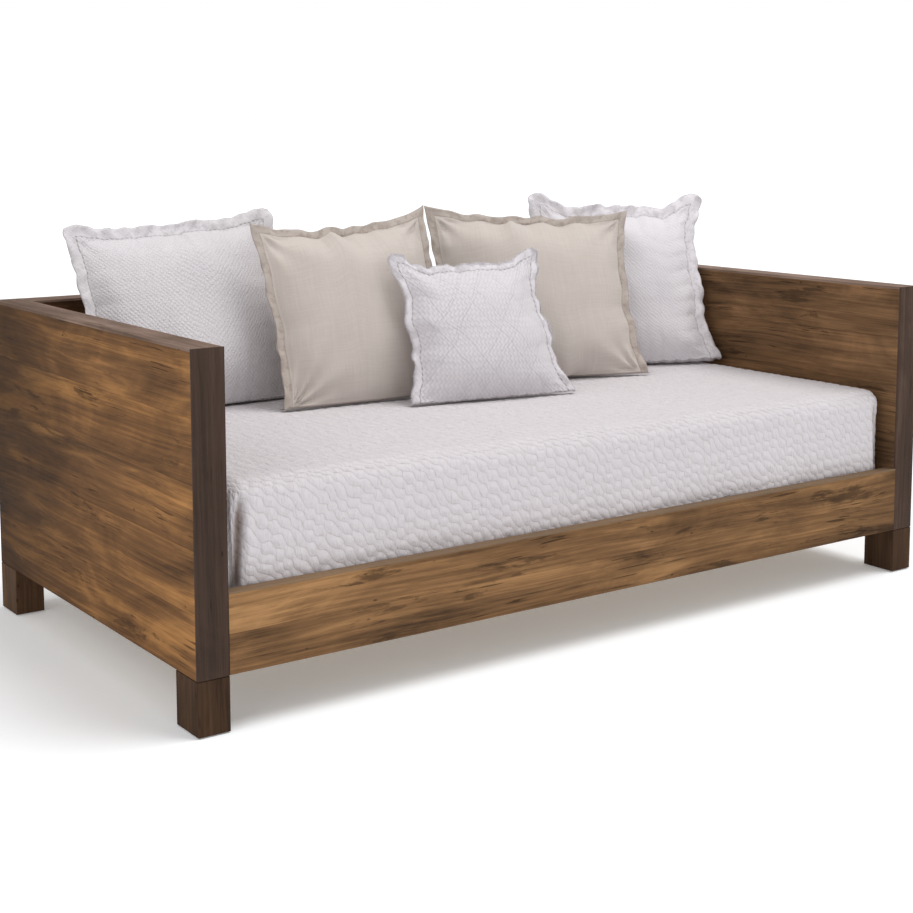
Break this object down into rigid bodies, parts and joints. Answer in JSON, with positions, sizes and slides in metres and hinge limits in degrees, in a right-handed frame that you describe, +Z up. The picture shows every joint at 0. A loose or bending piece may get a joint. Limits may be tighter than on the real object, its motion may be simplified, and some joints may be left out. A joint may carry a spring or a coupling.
{
  "type": "daybed",
  "caption": "Wooden daybed with panel ends and back, low front rail, slatted base, mattress with quilted coverlet and a row of leaning cushions.",
  "frame": {"origin": "on the floor under the middle of the bed: the bottom centre of the bounding box", "axes": "+X along the bed's length to the right as seen from the front, +Y to the back panel, +Z up"},
  "size_m": [2.1, 1.07, 0.9546],
  "materials": {
    "panel_wood": "staved reclaimed hardwood boards, waxed, horizontal grain",
    "dark_edge_wood": "dark stained edge lipping, satin",
    "top_edge_wood": "greyed worn top edge, matt",
    "rail_wood": "golden brown reclaimed boards with dark patches, waxed",
    "foot_wood": "dark stained hardwood, satin",
    "core_pine": "planed softwood, bare",
    "slat_pine": "planed softwood slats, bare",
    "beech_dowel": "fluted beech, bare",
    "zinc_steel": "zinc plated fixings",
    "brass_insert": "turned brass",
    "nylon_glide": "black nylon",
    "foam": "cream foam and spring core",
    "ticking": "off-white woven mattress ticking",
    "matelasse": "white quilted matelasse cotton",
    "white_sham_cloth": "white quilted cotton with hemstitched flange",
    "beige_linen": "washed beige linen with slubs",
    "basket_cotton": "heavy textured white cotton with frayed edges",
    "filling": "white fibre and feather filling"
  },
  "bodies": {
    "frame": {"left_end_outer_face": "panel_wood", "left_end_inner_face": "panel_wood", "left_end_front_lipping": "dark_edge_wood", "left_end_rear_lipping": "dark_edge_wood", "left_end_top_lipping": "top_edge_wood", "left_end_front_stile": "core_pine", "left_end_rear_stile": "core_pine", "left_end_core_rails": "core_pine", "right_end_outer_face": "panel_wood", "right_end_inner_face": "panel_wood", "right_end_front_lipping": "dark_edge_wood", "right_end_rear_lipping": "dark_edge_wood", "right_end_top_lipping": "top_edge_wood", "right_end_front_stile": "core_pine", "right_end_rear_stile": "core_pine", "right_end_core_rails": "core_pine", "back_front_face": "panel_wood", "back_rear_face": "panel_wood", "back_top_lipping": "top_edge_wood", "back_core_stiles": "core_pine", "back_core_rails": "core_pine", "front_rail_upper_board": "rail_wood", "front_rail_lower_board": "rail_wood", "front_left_foot": "foot_wood", "front_right_foot": "foot_wood", "rear_left_foot": "foot_wood", "rear_right_foot": "foot_wood", "foot_dowels": "beech_dowel", "foot_bolts": "zinc_steel", "foot_glides": "nylon_glide", "threaded_inserts": "brass_insert", "corner_brackets": "zinc_steel", "bracket_bolts": "zinc_steel", "wood_screws": "zinc_steel", "slat_screws": "zinc_steel", "front_ledger": "slat_pine", "rear_ledger": "slat_pine", "slat_1": "slat_pine", "slat_2": "slat_pine", "slat_3": "slat_pine", "slat_4": "slat_pine", "slat_5": "slat_pine", "slat_6": "slat_pine", "slat_7": "slat_pine", "slat_8": "slat_pine", "slat_9": "slat_pine", "slat_10": "slat_pine"},
    "mattress": {"mattress_core": "foam", "mattress_cover": "ticking", "coverlet": "matelasse"},
    "left_sham": {"left_sham_cover": "white_sham_cloth", "left_sham_filling": "filling"},
    "right_sham": {"right_sham_cover": "white_sham_cloth", "right_sham_filling": "filling"},
    "left_linen": {"left_linen_cover": "beige_linen", "left_linen_filling": "filling"},
    "right_linen": {"right_linen_cover": "beige_linen", "right_linen_filling": "filling"},
    "small_cushion": {"small_cushion_cover": "basket_cotton", "small_cushion_filling": "filling"}
  },
  "joints": [
    {"name": "mattress_lift", "type": "slide", "parent": "frame", "child": "mattress", "axis": [0, 0, 1], "range_m": [0, 0.55]},
    {"name": "left_sham_lift", "type": "slide", "parent": "mattress", "child": "left_sham", "axis": [0, 0.3746, 0.9272], "range_m": [0, 0.5]},
    {"name": "right_sham_lift", "type": "slide", "parent": "mattress", "child": "right_sham", "axis": [0.1583, 0.3395, 0.9272], "range_m": [0, 0.5]},
    {"name": "left_linen_lift", "type": "slide", "parent": "mattress", "child": "left_linen", "axis": [0.0196, 0.3741, 0.9272], "range_m": [0, 0.5]},
    {"name": "right_linen_lift", "type": "slide", "parent": "mattress", "child": "right_linen", "axis": [0.1281, 0.352, 0.9272], "range_m": [0, 0.5]},
    {"name": "small_cushion_lift", "type": "slide", "parent": "mattress", "child": "small_cushion", "axis": [0.0586, 0.37, 0.9272], "range_m": [0, 0.4]}
  ]
}
